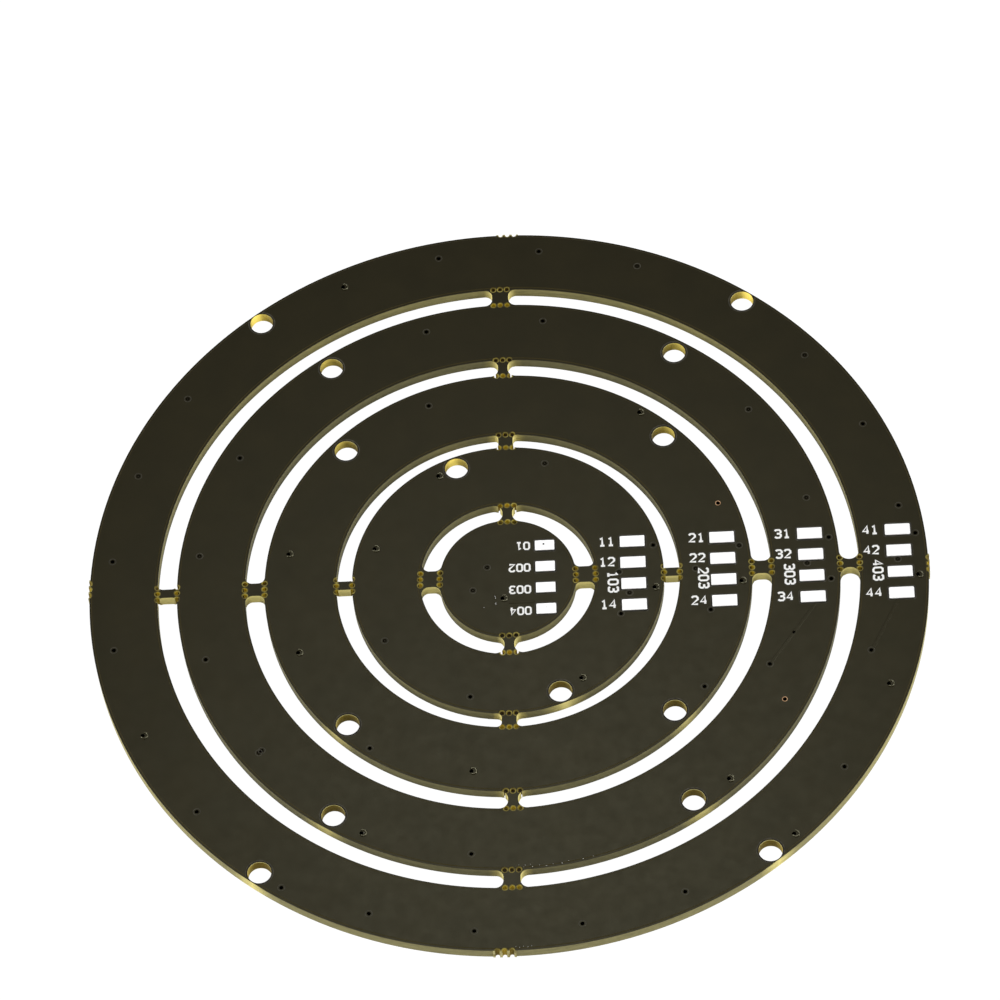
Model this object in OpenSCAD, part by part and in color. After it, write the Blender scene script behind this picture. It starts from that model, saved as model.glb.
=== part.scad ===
// Break-apart panel of addressable LED rings: a centre disc and four concentric rings
// routed from one laminate and held together by narrow tabs with mouse bites.
// The panel lies on the faces of its LEDs, solder side up. Z = 0 is the plane of those
// faces, Z is up, the origin is on the panel's axis and the solder pads lie along +X.

/* [Board outline] */
// Thickness of the laminate
board_t = 1.3; // [0.8:0.1:2.4]
// Radius of the centre disc
disc_r = 7; // [6.4:0.1:12]
// Routed gap between the disc and ring 1
gap_1 = 2; // [1.2:0.1:3]
// Width of ring 1
ring_1_w = 7; // [6:0.1:10]
// Routed gap between rings 1 and 2
gap_2 = 1.6; // [1.2:0.1:3]
// Width of ring 2
ring_2_w = 7.4; // [6:0.1:10]
// Routed gap between rings 2 and 3
gap_3 = 2; // [1.2:0.1:3]
// Width of ring 3
ring_3_w = 7; // [6:0.1:10]
// Routed gap between rings 3 and 4
gap_4 = 2; // [1.2:0.1:3]
// Width of ring 4
ring_4_w = 7; // [6:0.1:10]

/* [Break-off tabs] */
// Width of the narrow tabs
narrow_tab_w = 1; // [0.7:0.1:1.4]
// Width of the wide tabs across gap 1
wide_tab_1_w = 1.9; // [1.2:0.1:2.6]
// Width of the wide tabs across gap 2
wide_tab_2_w = 1.5; // [1.2:0.1:3]
// Width of the wide tabs across gap 3
wide_tab_3_w = 1.5; // [1.2:0.1:3]
// Width of the wide tabs across gap 4
wide_tab_4_w = 1.7; // [1.2:0.1:3]
// Corner radius at the ends of gaps 1 to 3; gap 4 ends in full rounds
gap_corner_r = 0.5; // [0.2:0.05:0.55]
// Diameter of a mouse-bite hole
bite_d = 0.5; // [0.3:0.05:0.6]
// Distance from one mouse-bite hole to the next
bite_pitch = 0.7; // [0.7:0.05:1]
// Mouse-bite holes across each end of a tab
bite_count = 3; // [3:2:5]
// Width of the stubs left where the panel was broken off its frame
stub_w = 2.3; // [2.2:0.1:4]
// How far those stubs stand out of the rim
stub_h = 0.25; // [0.1:0.05:0.6]

/* [Mounting holes] */
// Diameter of the mounting holes
hole_d = 2.4; // [1.6:0.1:2.4]
// From the rim of ring 1 to its hole centres
hole_inset_1 = 1.4; // [1.4:0.05:2]
// From the rim of ring 2 to its hole centres
hole_inset_2 = 1.65; // [1.4:0.05:2]
// From the rim of ring 3 to its hole centres
hole_inset_3 = 1.6; // [1.4:0.05:2]
// From the rim of ring 4 to its hole centres
hole_inset_4 = 1.3; // [1.3:0.05:2]

/* [Solder pads] */
// Length of a ring's solder pad, along the radius
pad_l = 2.6; // [1.5:0.1:3.2]
// Width of a ring's solder pad
pad_w = 1.36; // [0.8:0.02:1.8]
// Length of a solder pad on the disc
disc_pad_l = 2.05; // [1.4:0.05:2.4]
// Width of a solder pad on the disc
disc_pad_w = 1.25; // [0.8:0.05:1.8]
// Height of the tinned pad over the board
pad_h = 0.1; // [0.04:0.02:0.3]
// Corner radius of the pads
pad_corner_r = 0.16; // [0.06:0.02:0.3]
// Distance from one pad to the next
pad_pitch = 2.54; // [2:0.01:2.8]
// Pads on the disc and on each ring
pad_count = 4; // [2:1:4]
// From the rim to the middle of a pad, on the disc and ring 1
pad_inset_inner = 3.2; // [2.6:0.1:3.6]
// From the rim to the middle of a pad, on rings 2 to 4
pad_inset = 3; // [2.6:0.1:3.8]

/* [LEDs] */
// LEDs on ring 1
ring_1_leds = 8; // [4:1:8]
// LEDs on ring 2
ring_2_leds = 12; // [6:1:14]
// LEDs on ring 3
ring_3_leds = 16; // [8:1:20]
// LEDs on ring 4
ring_4_leds = 24; // [12:1:28]
// Side of the square LED housing
led_w = 5; // [4.4:0.1:5.4]
// Height of an LED over the board
led_h = 1.6; // [1.4:0.1:2.4]
// Depth of the reflector cup in the housing
cup_depth = 0.8; // [0.5:0.05:1]
// Diameter of the cup at its mouth
cup_mouth_d = 4.1; // [3.4:0.1:4.2]
// Diameter of the cup at its floor
cup_floor_d = 3.3; // [2.8:0.1:3.4]
// How far the clear filling stays below the rim of the cup
lens_sink = 0.05; // [0.02:0.01:0.15]
// Side of the chamfered corner that marks terminal 1
corner_mark = 0.7; // [0.4:0.05:0.9]
// Depth of that chamfer
corner_mark_depth = 0.45; // [0.2:0.05:0.5]
// Thickness of the lead frame
lead_t = 0.15; // [0.1:0.01:0.2]
// Width of a terminal
lead_w = 1; // [0.6:0.05:1.2]
// Distance between the two terminals on one side
lead_pitch = 3.2; // [2.6:0.05:3.3]
// Length of the foot folded under the housing
lead_foot = 0.9; // [0.5:0.05:1.2]
// Gap between the lead frame's plates on the cup floor
plate_gap = 0.3; // [0.15:0.05:0.5]
// How deep a plate is held in the cup wall
plate_hold = 0.5; // [0.2:0.05:0.6]

/* [LED chips] */
// Length of the driver chip
driver_l = 0.9; // [0.6:0.05:1]
// Width of the driver chip
driver_w = 0.7; // [0.5:0.05:0.8]
// Thickness of the driver chip
driver_t = 0.2; // [0.1:0.05:0.3]
// Side of a light-emitting chip
emitter_w = 0.3; // [0.2:0.05:0.4]
// Thickness of a light-emitting chip
emitter_t = 0.12; // [0.08:0.02:0.2]
// Distance of each chip from the two centre lines of its LED
chip_offset = 0.65; // [0.62:0.01:0.75]

/* [Capacitors] */
// Length of a capacitor, along the radius
cap_l = 1.6; // [1:0.1:2]
// Width of a capacitor
cap_w = 0.8; // [0.5:0.05:1]
// Height of a capacitor
cap_h = 0.75; // [0.4:0.05:0.9]
// Length of each metal end
cap_end_l = 0.3; // [0.2:0.05:0.4]
// How far the ceramic lies inside the faces of its metal ends
cap_step = 0.03; // [0.02:0.01:0.06]
// From the middle of a ring in to the middle of its capacitors
cap_shift = 1.3; // [0.6:0.1:1.4]

/* [Hidden] */

// Past a face, so that a cut leaves no skin
cut = 0.5;
// Kept between a round cut and the edge that it would only touch
relief = 0.01;
// Sides of a round in a pad's corner
corner_fn = 16;
$fn = 96;

// Part 0 is the disc and parts 1 to 4 are the rings
ring_w = [disc_r, ring_1_w, ring_2_w, ring_3_w, ring_4_w];
gap_w = [0, gap_1, gap_2, gap_3, gap_4];
function outer_r(part) = part < 0 ? 0 : outer_r(part - 1) + gap_w[part] + ring_w[part];
function inner_r(part) = outer_r(part) - ring_w[part];
function middle_r(part) = part == 0 ? 0 : (inner_r(part) + outer_r(part)) / 2;
rings = [1:4];
rim_r = outer_r(4);

leds = [1, ring_1_leds, ring_2_leds, ring_3_leds, ring_4_leds];
led_step = [for (count = leds) 360 / count];
board_bottom = led_h;
board_top = led_h + board_t;

// Mounting holes lie between two LEDs: their places in LED steps from the +X axis
hole_steps = [[], [2.45, -1.55], [1.5, 4.5, -1.5, -4.5], [2.5, 5.5, -2.5, -5.5], [3.5, 8.5, -3.5, -8.5]];
hole_inset = [0, hole_inset_1, hole_inset_2, hole_inset_3, hole_inset_4];

// Four tabs cross each gap, and four stubs are left on the rim, at +Y, +X, -Y and -X
tab_angles = [90, 0, -90, 180];
sides = [0:3];
// How far the router put each tab and stub off its axis, clockwise
tab_shift = [[], [0.1, -0.1, 0, 0.3], [0.1, 0.1, 0.2, 0], [0, 0, 0, 0], [-0.1, 0, 0.3, 0]];
stub_shift = [0.8, 0.45, 1.2, 0.9];
// Wide and narrow tabs alternate from side to side and from gap to gap
wide_tab_w = [0, wide_tab_1_w, wide_tab_2_w, wide_tab_3_w, wide_tab_4_w];
function tab_w(gap, side) = (gap + side) % 2 == 0 ? wide_tab_w[gap] : narrow_tab_w;
function end_r(gap) = gap == 4 ? gap_w[gap] / 2 - relief : gap_corner_r;

pad_rim_gap = [pad_inset_inner, pad_inset_inner, pad_inset, pad_inset, pad_inset];

cup_floor = led_h - cup_depth;
cup_slope = (cup_mouth_d - cup_floor_d) / cup_depth;
function cup_d(height) = cup_floor_d + cup_slope * height;
function cap_r(part) = part == 0 ? (led_w / 2 + lead_t + disc_r) / 2 : middle_r(part) - cap_shift;

mask_color = [0.17, 0.165, 0.12];
tin_color = [0.9, 0.9, 0.88];
housing_color = [0.93, 0.93, 0.91];
lens_color = [0.93, 0.93, 0.8, 0.45];
frame_color = [0.8, 0.8, 0.78];
driver_color = [0.25, 0.24, 0.28];
emitter_color = [0.85, 0.75, 0.35];
ceramic_color = [0.62, 0.5, 0.38];

// ---- board ----

// A point at a given radius and at a given distance clockwise of the axis at angle
module at_side(angle, radius, aside) {
    rotate(angle - asin(aside / radius)) translate([radius, 0, board_bottom - cut]) children();
}

module through_hole(d) {
    cylinder(h = board_t + 2 * cut, d = d);
}

// One end of a gap beside a tab; way is 1 clockwise of the tab and -1 on its other side
module gap_end(gap, side, way) {
    inner = outer_r(gap - 1) + end_r(gap) + relief;
    outer = inner_r(gap) - end_r(gap) - relief;
    aside = tab_shift[gap][side] + way * (tab_w(gap, side) / 2 + end_r(gap));
    straight_w = end_r(gap) - relief;
    if (outer > inner) {
        at_side(tab_angles[side], inner, aside) through_hole(2 * end_r(gap));
        at_side(tab_angles[side], outer, aside) through_hole(2 * end_r(gap));
        rotate(tab_angles[side])
            translate([inner, way > 0 ? -aside : -aside - straight_w, board_bottom - cut])
                cube([outer - inner, straight_w, board_t + 2 * cut]);
    } else {
        at_side(tab_angles[side], (inner + outer) / 2, aside) through_hole(2 * end_r(gap));
    }
}

// Angle at which the even part of a gap starts, beside a tab
function gap_end_angle(gap, side, way) =
    tab_angles[side] - asin((tab_shift[gap][side] + way * (tab_w(gap, side) / 2 + end_r(gap)))
    / (inner_r(gap) - end_r(gap)));

module gap_cut(gap) {
    for (side = sides) {
        next = (side + 1) % 4;
        from = gap_end_angle(gap, next, -1);
        sweep = (gap_end_angle(gap, side, 1) - from + 360) % 360;
        translate([0, 0, board_bottom - cut])
            rotate(from)
                rotate_extrude(angle = sweep)
                    translate([outer_r(gap - 1), 0])
                        square([gap_w[gap], board_t + 2 * cut]);
        gap_end(gap, side, 1);
        gap_end(gap, side, -1);
    }
}

module bite_row(angle, radius, shift) {
    for (i = [0:bite_count - 1])
        at_side(angle, radius, shift + (i - (bite_count - 1) / 2) * bite_pitch) through_hole(bite_d);
}

module bites() {
    for (gap = rings, side = sides) {
        bite_row(tab_angles[side], outer_r(gap - 1), tab_shift[gap][side]);
        bite_row(tab_angles[side], inner_r(gap), tab_shift[gap][side]);
    }
    for (side = sides)
        bite_row(tab_angles[side], rim_r + stub_h / 2, stub_shift[side]);
}

module mounting_holes() {
    for (ring = rings, step = hole_steps[ring])
        rotate(led_step[ring] * step)
            translate([outer_r(ring) - hole_inset[ring], 0, board_bottom - cut])
                through_hole(hole_d);
}

// Laminate left on the rim where the panel was snapped off its frame
module stubs() {
    for (side = sides)
        rotate(tab_angles[side] - asin((stub_shift[side] + stub_w / 2) / rim_r))
            rotate_extrude(angle = 2 * asin(stub_w / 2 / rim_r))
                translate([rim_r - cut, 0])
                    square([cut + stub_h, board_t]);
}

module board() {
    color(mask_color)
        difference() {
            translate([0, 0, board_bottom]) {
                cylinder(h = board_t, r = rim_r);
                stubs();
            }
            for (gap = rings) gap_cut(gap);
            bites();
            mounting_holes();
        }
}

// ---- solder pads ----

module pad_layer(length, width, corner, height) {
    for (x = [-1, 1], y = [-1, 1])
        translate([x * (length / 2 - corner), y * (width / 2 - corner), 0])
            cylinder(h = height, r = corner, $fn = corner_fn);
}

// Solder stands on the pad as a low cushion with rounded corners
module solder_pad(length, width) {
    crown = pad_corner_r / 2;
    hull() {
        pad_layer(length, width, pad_corner_r, pad_h / 3);
        pad_layer(length - 2 * crown, width - 2 * crown, pad_corner_r, pad_h * 0.8);
        pad_layer(length - 6 * crown, width - 6 * crown, pad_corner_r, pad_h);
    }
}

module solder_pads(part) {
    length = part == 0 ? disc_pad_l : pad_l;
    width = part == 0 ? disc_pad_w : pad_w;
    color(tin_color)
        for (i = [0:pad_count - 1])
            translate([outer_r(part) - pad_rim_gap[part], (i - (pad_count - 1) / 2) * pad_pitch, board_top])
                solder_pad(length, width);
}

// ---- LEDs ----
// An LED is drawn on the board's face at Z = 0 with its light along +Z, its terminals on
// the X sides and its Y axis along the radius. place_leds turns it over below the board.

module place_leds(part) {
    for (i = [0:leds[part] - 1])
        rotate(led_step[part] * i)
            translate([middle_r(part), 0, board_bottom])
                rotate([180, 0, 90])
                    children();
}

module each_terminal() {
    for (x = [0, 1], y = [0, 1])
        mirror([x, 0, 0]) mirror([0, y, 0]) children();
}

module cup(height) {
    translate([0, 0, cup_floor]) cylinder(h = height, d1 = cup_d(0), d2 = cup_d(height));
}

// The plate on the cup floor and the strip that runs from it out through the wall
module frame_inside(strip_end) {
    translate([plate_gap / 2, plate_gap / 2, cup_floor - lead_t])
        cube([led_w / 2 - plate_hold - plate_gap / 2, (lead_pitch + lead_w - plate_gap) / 2, lead_t]);
    translate([plate_gap / 2, (lead_pitch - lead_w) / 2, cup_floor - lead_t])
        cube([strip_end - plate_gap / 2, lead_w, lead_t]);
}

// The strip's outside, folded down the housing and under it
module frame_outside() {
    side = led_w / 2;
    translate([0, (lead_pitch + lead_w) / 2, 0])
        rotate([90, 0, 0])
            linear_extrude(lead_w)
                polygon([
                    [side - lead_foot, 0], [side + lead_t, 0], [side + lead_t, cup_floor],
                    [side - plate_hold, cup_floor], [side - plate_hold, cup_floor - lead_t],
                    [side, cup_floor - lead_t], [side, lead_t], [side - lead_foot, lead_t]
                ]);
}

module led_housing() {
    color(housing_color)
        difference() {
            translate([-led_w / 2, -led_w / 2, lead_t]) cube([led_w, led_w, led_h - lead_t]);
            cup(cup_depth + cut);
            each_terminal() frame_inside(led_w / 2 + cut);
            translate([led_w / 2, led_w / 2, led_h - corner_mark_depth])
                rotate(45)
                    translate([-corner_mark * sqrt(0.5), -led_w / 2, 0])
                        cube([led_w, led_w, corner_mark_depth + cut]);
        }
}

module led_frame() {
    color(frame_color)
        each_terminal()
            union() {
                frame_inside(led_w / 2);
                frame_outside();
            }
}

module driver_chip() {
    color(driver_color)
        translate([chip_offset - driver_l / 2, chip_offset - driver_w / 2, cup_floor])
            cube([driver_l, driver_w, driver_t]);
}

// One red, one green and one blue chip, each on its own plate
module emitters() {
    color(emitter_color)
        for (place = [[-1, 1], [-1, -1], [1, -1]])
            translate([chip_offset * place.x - emitter_w / 2, chip_offset * place.y - emitter_w / 2, cup_floor])
                cube([emitter_w, emitter_w, emitter_t]);
}

module led_lens() {
    color(lens_color)
        difference() {
            cup(cup_depth - lens_sink);
            driver_chip();
            emitters();
        }
}

// ---- capacitors ----
// One stands between each LED and the next, drawn on the board's face as the LEDs are

module place_capacitors(part) {
    for (i = [0:leds[part] - 1])
        rotate(led_step[part] * (i + 0.5))
            translate([cap_r(part), 0, board_bottom])
                rotate([180, 0, 90])
                    children();
}

module capacitor() {
    length = cap_l - 2 * cap_end_l;
    color(ceramic_color)
        translate([cap_step - cap_w / 2, -length / 2, cap_step])
            cube([cap_w - 2 * cap_step, length, cap_h - 2 * cap_step]);
}

module capacitor_ends() {
    color(tin_color)
        for (y = [-cap_l / 2, cap_l / 2 - cap_end_l])
            translate([-cap_w / 2, y, 0])
                cube([cap_w, cap_end_l, cap_h]);
}

board();
solder_pads(0);  // solder_pads_disc
solder_pads(1);  // solder_pads_ring_1
solder_pads(2);  // solder_pads_ring_2
solder_pads(3);  // solder_pads_ring_3
solder_pads(4);  // solder_pads_ring_4
place_leds(0) led_housing();  // led_housing_disc
place_leds(1) led_housing();  // led_housings_ring_1
place_leds(2) led_housing();  // led_housings_ring_2
place_leds(3) led_housing();  // led_housings_ring_3
place_leds(4) led_housing();  // led_housings_ring_4
place_leds(0) led_lens();  // led_lens_disc
place_leds(1) led_lens();  // led_lenses_ring_1
place_leds(2) led_lens();  // led_lenses_ring_2
place_leds(3) led_lens();  // led_lenses_ring_3
place_leds(4) led_lens();  // led_lenses_ring_4
place_leds(0) led_frame();  // led_frame_disc
place_leds(1) led_frame();  // led_frames_ring_1
place_leds(2) led_frame();  // led_frames_ring_2
place_leds(3) led_frame();  // led_frames_ring_3
place_leds(4) led_frame();  // led_frames_ring_4
place_leds(0) driver_chip();  // driver_chip_disc
place_leds(1) driver_chip();  // driver_chips_ring_1
place_leds(2) driver_chip();  // driver_chips_ring_2
place_leds(3) driver_chip();  // driver_chips_ring_3
place_leds(4) driver_chip();  // driver_chips_ring_4
place_leds(0) emitters();  // emitters_disc
place_leds(1) emitters();  // emitters_ring_1
place_leds(2) emitters();  // emitters_ring_2
place_leds(3) emitters();  // emitters_ring_3
place_leds(4) emitters();  // emitters_ring_4
place_capacitors(0) capacitor();  // capacitor_disc
place_capacitors(1) capacitor();  // capacitors_ring_1
place_capacitors(2) capacitor();  // capacitors_ring_2
place_capacitors(3) capacitor();  // capacitors_ring_3
place_capacitors(4) capacitor();  // capacitors_ring_4
place_capacitors(0) capacitor_ends();  // capacitor_ends_disc
place_capacitors(1) capacitor_ends();  // capacitor_ends_ring_1
place_capacitors(2) capacitor_ends();  // capacitor_ends_ring_2
place_capacitors(3) capacitor_ends();  // capacitor_ends_ring_3
place_capacitors(4) capacitor_ends();  // capacitor_ends_ring_4
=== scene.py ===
# A panel of break-apart LED rings, lying on its LEDs with the solder side up.
# The frame gives the places. Pieces are modelled in millimetres and brought to metres when they are done.
import bpy
import bmesh
import math
import random
from mathutils import Matrix, Vector


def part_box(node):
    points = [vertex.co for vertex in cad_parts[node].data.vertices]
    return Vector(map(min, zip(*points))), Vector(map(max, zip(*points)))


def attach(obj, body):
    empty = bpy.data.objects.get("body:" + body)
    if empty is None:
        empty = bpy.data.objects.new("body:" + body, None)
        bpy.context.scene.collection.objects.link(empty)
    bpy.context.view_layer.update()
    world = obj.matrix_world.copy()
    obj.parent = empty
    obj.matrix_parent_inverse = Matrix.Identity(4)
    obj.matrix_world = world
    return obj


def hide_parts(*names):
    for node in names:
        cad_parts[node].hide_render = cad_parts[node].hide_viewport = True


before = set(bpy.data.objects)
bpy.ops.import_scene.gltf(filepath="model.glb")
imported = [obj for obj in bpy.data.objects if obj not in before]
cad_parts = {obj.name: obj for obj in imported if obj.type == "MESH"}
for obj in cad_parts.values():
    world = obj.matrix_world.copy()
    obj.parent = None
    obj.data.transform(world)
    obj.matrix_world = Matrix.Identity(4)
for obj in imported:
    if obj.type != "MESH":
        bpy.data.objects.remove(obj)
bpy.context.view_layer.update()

mm = 0.001
parts = ["disc", "ring_1", "ring_2", "ring_3", "ring_4"]
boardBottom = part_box("board")[0].z / mm
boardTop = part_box("board")[1].z / mm
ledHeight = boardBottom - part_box("led_housing_disc")[0].z / mm
weld = {"distance": 0.0008, "sliver": 0.0005}   # what a cut leaves closer than this is merged


def deselectAll():
    if bpy.context.mode != "OBJECT":
        bpy.ops.object.mode_set(mode="OBJECT")
    bpy.ops.object.select_all(action="DESELECT")


def makeActive(piece):
    deselectAll()
    piece.select_set(True)
    bpy.context.view_layer.objects.active = piece


def startEdit(piece, kind="FACE"):
    makeActive(piece)
    bpy.ops.object.mode_set(mode="EDIT")
    bpy.ops.mesh.select_mode(type=kind)
    bpy.ops.mesh.select_all(action="SELECT")


def pick(piece, kind, test):
    # in edit mode: selects the faces, edges or points that pass the test
    bpy.ops.mesh.select_mode(type=kind)
    bpy.ops.mesh.select_all(action="DESELECT")
    shape = bmesh.from_edit_mesh(piece.data)
    for item in {"VERT": shape.verts, "EDGE": shape.edges, "FACE": shape.faces}[kind]:
        if test(item):
            item.select_set(True)
    bmesh.update_edit_mesh(piece.data)


def upright(edge):
    # within about 11 degrees of the vertical
    first, second = edge.verts[0].co, edge.verts[1].co
    return (first - second).xy.length < 0.2 * abs(first.z - second.z)


def endEdit():
    bpy.ops.object.mode_set(mode="OBJECT")


def closeEdit(merge=0.0):
    # leaves edit mode with every face turned outwards
    bpy.ops.mesh.select_all(action="SELECT")
    if merge:
        bpy.ops.mesh.remove_doubles(threshold=merge)
    bpy.ops.mesh.normals_make_consistent(inside=False)
    endEdit()


def paint(piece, *materials):
    for material in materials:
        piece.data.materials.append(material)


def meshFromCurve(name, curve):
    made = bpy.data.objects.new(name, curve)
    bpy.context.scene.collection.objects.link(made)
    makeActive(made)
    bpy.ops.object.convert(target="MESH")
    return bpy.context.object


def applyPlace(piece):
    makeActive(piece)
    bpy.ops.object.transform_apply(location=True, rotation=True, scale=True)


def addBlock(low, high):
    # a block between two corners
    low, high = Vector(low), Vector(high)
    bpy.ops.mesh.primitive_cube_add(size=1, location=(low + high) / 2)
    block = bpy.context.object
    block.scale = high - low
    applyPlace(block)
    return block


def applyModifier(piece, kind, **values):
    makeActive(piece)
    modifier = piece.modifiers.new(kind, kind)
    for name, value in values.items():
        setattr(modifier, name, value)
    bpy.ops.object.modifier_apply(modifier=modifier.name)


def combine(piece, tool, operation="DIFFERENCE"):
    # the tool's faces keep its own material
    applyModifier(piece, "BOOLEAN", operation=operation, solver="EXACT", object=tool,
                  material_mode="TRANSFER")
    bpy.data.objects.remove(tool)
    startEdit(piece)
    bpy.ops.mesh.remove_doubles(threshold=weld["distance"])
    bpy.ops.mesh.dissolve_degenerate(threshold=weld["sliver"])
    endEdit()


def copyOf(model, place):
    made = model.copy()
    made.data = model.data.copy()
    made.data.transform(place)
    bpy.context.scene.collection.objects.link(made)
    return made


def copiesOf(model, places):
    # the model itself goes
    made = [copyOf(model, place) for place in places]
    bpy.data.objects.remove(model)
    return made


def joined(pieces):
    deselectAll()
    for piece in pieces:
        piece.select_set(True)
    bpy.context.view_layer.objects.active = pieces[0]
    if len(pieces) > 1:
        bpy.ops.object.join()
    return pieces[0]


def smoothEdges(piece, degrees):
    makeActive(piece)
    bpy.ops.object.shade_smooth_by_angle(angle=math.radians(degrees))


def finishPiece(piece, name, standsFor=None, smooth=30):
    piece.data.transform(Matrix.Scale(mm, 4))
    piece.name = name
    smoothEdges(piece, smooth)
    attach(piece, "root")
    if standsFor:
        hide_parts(standsFor)
    print(name, len(piece.data.polygons), "faces")
    return piece


def polar(radius, degrees, height=0.0):
    turn = math.radians(degrees)
    return Vector((radius * math.cos(turn), radius * math.sin(turn), height))


def moved(x, y, z=0.0):
    return Matrix.Translation((x, y, z))


def turned(degrees, axis="Z"):
    return Matrix.Rotation(math.radians(degrees), 4, axis)


def newMaterial(name, color, roughness, **sockets):
    material = bpy.data.materials.new(name)
    material.use_nodes = True
    shader = material.node_tree.nodes["Principled BSDF"]
    shader.inputs["Base Color"].default_value = (*color, 1)
    shader.inputs["Roughness"].default_value = roughness
    for socket, value in sockets.items():
        shader.inputs[socket.replace("_", " ")].default_value = value
    return material, material.node_tree, shader


def addNode(tree, kind, inputs=None, **values):
    node = tree.nodes.new("ShaderNode" + kind)
    for name, value in values.items():
        setattr(node, name, value)
    for name, value in (inputs or {}).items():
        if isinstance(value, bpy.types.NodeSocket):
            tree.links.new(value, node.inputs[name])
        else:
            node.inputs[name].default_value = value
    return node


def objectPoint(tree, scale=(1, 1, 1)):
    place = addNode(tree, "TexCoord")
    return addNode(tree, "Mapping", {"Vector": place.outputs["Object"], "Scale": scale}).outputs["Vector"]


def noiseOf(tree, scale, stretch=(1, 1, 1), detail=3, rough=0.5):
    return addNode(tree, "TexNoise", {"Vector": objectPoint(tree, stretch), "Scale": scale, "Detail": detail,
                                      "Roughness": rough}).outputs["Fac"]


def ramp(tree, value, *stops):
    node = addNode(tree, "ValToRGB", {"Fac": value})
    elements = node.color_ramp.elements
    while len(elements) < len(stops):
        elements.new(0.5)
    for element, (place, color) in zip(elements, stops):
        element.position = place
        element.color = (*color, 1)
    return node.outputs["Color"]


def greyRamp(tree, value, *stops):
    return ramp(tree, value, *[(place, (level, level, level)) for place, level in stops])


def mixed(tree, factor, first, second, blend="MIX"):
    node = tree.nodes.new("ShaderNodeMix")
    node.data_type = "RGBA"
    node.blend_type = blend
    sockets = (node.inputs["Factor"], node.inputs[6], node.inputs[7])
    for socket, value in zip(sockets, (factor, first, second)):
        if isinstance(value, bpy.types.NodeSocket):
            tree.links.new(value, socket)
        elif isinstance(value, (int, float)):
            socket.default_value = value
        else:
            socket.default_value = (*value, 1)
    return node.outputs[2]


def spread(tree, shader, value, low, high):
    # roughness that varies over the surface
    result = addNode(tree, "MapRange", {"Value": value, "To Min": low, "To Max": high}).outputs["Result"]
    tree.links.new(result, shader.inputs["Roughness"])


def bumpFrom(tree, shader, value, distance, strength=1.0):
    bump = addNode(tree, "Bump", {"Height": value, "Distance": distance, "Strength": strength})
    tree.links.new(bump.outputs["Normal"], shader.inputs["Normal"])


def solderMaskMaterial(name="solderMask", roughness=0.3, specular=0.14, brighter=1.0):
    look = {"dark": Vector((0.0085, 0.006, 0.001)) * brighter,
            "light": Vector((0.0115, 0.0082, 0.0018)) * brighter,
            "dust": (0.3, 0.29, 0.24),
            "sheen": (1, 0.97, 0.67, 1),
            "cloudScale": 260, "dustScale": 230, "patchScale": 900, "grainScale": 2600,
            "grainDepth": 0.003}
    material, tree, shader = newMaterial(name, look["dark"], roughness, Specular_IOR_Level=specular)
    shader.inputs["Specular Tint"].default_value = look["sheen"]
    cloud = greyRamp(tree, noiseOf(tree, look["cloudScale"], detail=4), (0.35, 0), (0.7, 1))
    base = mixed(tree, cloud, look["dark"], look["light"])
    speck = addNode(tree, "TexVoronoi", {"Vector": objectPoint(tree), "Scale": look["dustScale"],
                                         "Randomness": 1})
    near = greyRamp(tree, speck.outputs["Distance"], (0.012, 1), (0.024, 0))
    rare = greyRamp(tree, speck.outputs["Color"], (0.8, 0), (0.84, 0.6))
    dust = mixed(tree, 1.0, near, rare, "MULTIPLY")
    tree.links.new(mixed(tree, dust, base, look["dust"]), shader.inputs["Base Color"])
    spread(tree, shader, noiseOf(tree, look["patchScale"], detail=5), roughness - 0.05, roughness + 0.06)
    bumpFrom(tree, shader, noiseOf(tree, look["grainScale"], detail=2), look["grainDepth"] * mm, 0.5)
    return material


def laminateMaterial(name, thick, paintedGlow, streak, lip, glow=0.0):
    # glass plies run level round the edge; the attribute says where a wall is painted paler and glowing, as
    # though light came through it
    glass = {"plyScale": 220, "plyStretch": 26, "fibreScale": 1500, "fibreStretch": 2, "plyDepth": 0.02}
    material, tree, shader = newMaterial(name, thick, 0.6, Specular_IOR_Level=0.14)
    ply = noiseOf(tree, glass["plyScale"], stretch=(1, 1, glass["plyStretch"]), detail=4, rough=0.7)
    fibre = noiseOf(tree, glass["fibreScale"], stretch=(1, 1, glass["fibreStretch"]), detail=3)
    thinness = addNode(tree, "Attribute", attribute_name="thinness").outputs["Fac"]
    base = mixed(tree, thinness, thick, paintedGlow)
    dark = greyRamp(tree, ply, (0.3, streak), (0.62, 1))
    grain = greyRamp(tree, fibre, (0.3, 0.84), (0.7, 1.05))
    shaded = mixed(tree, 1.0, mixed(tree, 1.0, base, dark, "MULTIPLY"), grain, "MULTIPLY")
    place = addNode(tree, "TexCoord").outputs["Object"]
    height = addNode(tree, "SeparateXYZ", {"Vector": place}).outputs["Z"]
    across = addNode(tree, "MapRange", {"Value": height, "From Min": boardBottom * mm,
                                        "From Max": boardTop * mm})
    # a band at the top and bottom of each wall: on the routed wall it is dark, the mask's edge with painted
    # shadow under it; on the drilled wall it is pale
    edge = greyRamp(tree, across.outputs["Result"], (0.0, 0.8), (0.05, 0), (0.89, 0), (0.92, 0.9), (1, 1))
    plain = greyRamp(tree, thinness, (0.35, 1), (0.8, 0))   # a thin wall has no lip
    lipped = mixed(tree, mixed(tree, 1.0, edge, plain, "MULTIPLY"), shaded, lip)
    tree.links.new(lipped, shader.inputs["Base Color"])
    # painted glow: the wall emits its glow colour where the attribute is high
    if glow:
        shader.inputs["Emission Color"].default_value = (*paintedGlow, 1)
        through = greyRamp(tree, thinness, (0.6, 0), (0.8, 0.2 * glow), (0.95, glow))
        tree.links.new(through, shader.inputs["Emission Strength"])
    bumpFrom(tree, shader, ply, glass["plyDepth"] * mm, 0.6)
    return material


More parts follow.
